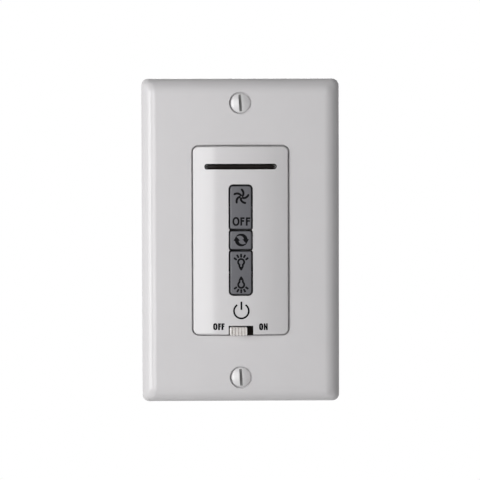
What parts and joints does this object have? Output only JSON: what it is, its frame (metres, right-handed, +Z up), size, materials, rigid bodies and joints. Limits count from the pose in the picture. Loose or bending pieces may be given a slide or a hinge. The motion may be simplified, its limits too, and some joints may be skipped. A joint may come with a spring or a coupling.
{
  "type": "fan wall switch",
  "caption": "Wall control for a ceiling fan and its light: bevelled plate, crowned cover with an indicator window, rocker keys, a push key and a power slide.",
  "frame": {"origin": "centre of the wall plate's back rim, in the plane of the wall", "axes": "+Z up the wall, +X to the right as seen from the room, -Y out into the room and +Y into the wall box"},
  "size_m": [0.0698, 0.0343, 0.1142],
  "materials": {
    "plate": "satin white moulding",
    "plate_screw": "white enamel",
    "yoke": "zinc plated",
    "steel_screw": "zinc plated",
    "fibre": "vulcanised fibre",
    "cover": "satin white moulding",
    "lens": "smoked, polished",
    "lamp": "clear encapsulation",
    "key": "fine matt grey",
    "keypad": "silicone rubber",
    "carbon": "carbon filled",
    "can": "tin plated",
    "black_can": "blackened steel",
    "black_plastic": "matt black",
    "pin": "tinned",
    "contact": "bright",
    "knob": "satin white moulding",
    "film": "boxed, yellow",
    "sleeve": "shrink sleeve",
    "resistor": "lacquered ceramic",
    "fuse": "ceramic tube",
    "board": "solder mask on glass fibre",
    "housing": "moulded black"
  },
  "bodies": {
    "control": {"wall_plate": "plate", "plate_screws": "plate_screw", "mounting_yoke": "yoke", "box_screws": "steel_screw", "screw_retainers": "fibre", "front_cover": "cover", "indicator_lens": "lens", "indicator_lamps": "lamp", "rubber_keypad": "keypad", "carbon_pills": "carbon", "switch_can": "black_can", "switch_base": "black_plastic", "switch_pins": "pin", "film_capacitor": "film", "electrolytic_capacitor": "sleeve", "dropper_resistor": "resistor", "fuse": "fuse", "bridge_rectifier": "black_plastic", "controller_chip": "black_plastic", "crystal_can": "can", "lead_terminals": "pin", "circuit_board": "board", "insulator_sheet": "fibre", "rear_housing": "housing", "housing_screws": "steel_screw"},
    "fan_rocker": {"fan_key": "key"},
    "light_rocker": {"light_key": "key"},
    "reverse_button": {"reverse_key": "key"},
    "power_slider": {"slide_knob": "knob", "slide_actuator": "black_plastic", "slide_contact": "contact"}
  },
  "joints": [
    {"name": "fan_tilt", "type": "hinge", "parent": "control", "child": "fan_rocker", "pos_m": [0, -0.0056, 0.0117], "axis": [1, 0, 0], "range_deg": [-7, 7], "stiffness_Nm_per_rad": 0.06, "deforming": ["rubber_keypad"]},
    {"name": "light_tilt", "type": "hinge", "parent": "control", "child": "light_rocker", "pos_m": [0, -0.0056, -0.0113], "axis": [1, 0, 0], "range_deg": [-7, 7], "stiffness_Nm_per_rad": 0.06, "deforming": ["rubber_keypad"]},
    {"name": "reverse_press", "type": "slide", "parent": "control", "child": "reverse_button", "axis": [0, 1, 0], "range_m": [0, 0.00058], "stiffness_N_per_m": 900, "deforming": ["rubber_keypad"]},
    {"name": "power_travel", "type": "slide", "parent": "control", "child": "power_slider", "axis": [1, 0, 0], "range_m": [0, 0.00173]}
  ]
}
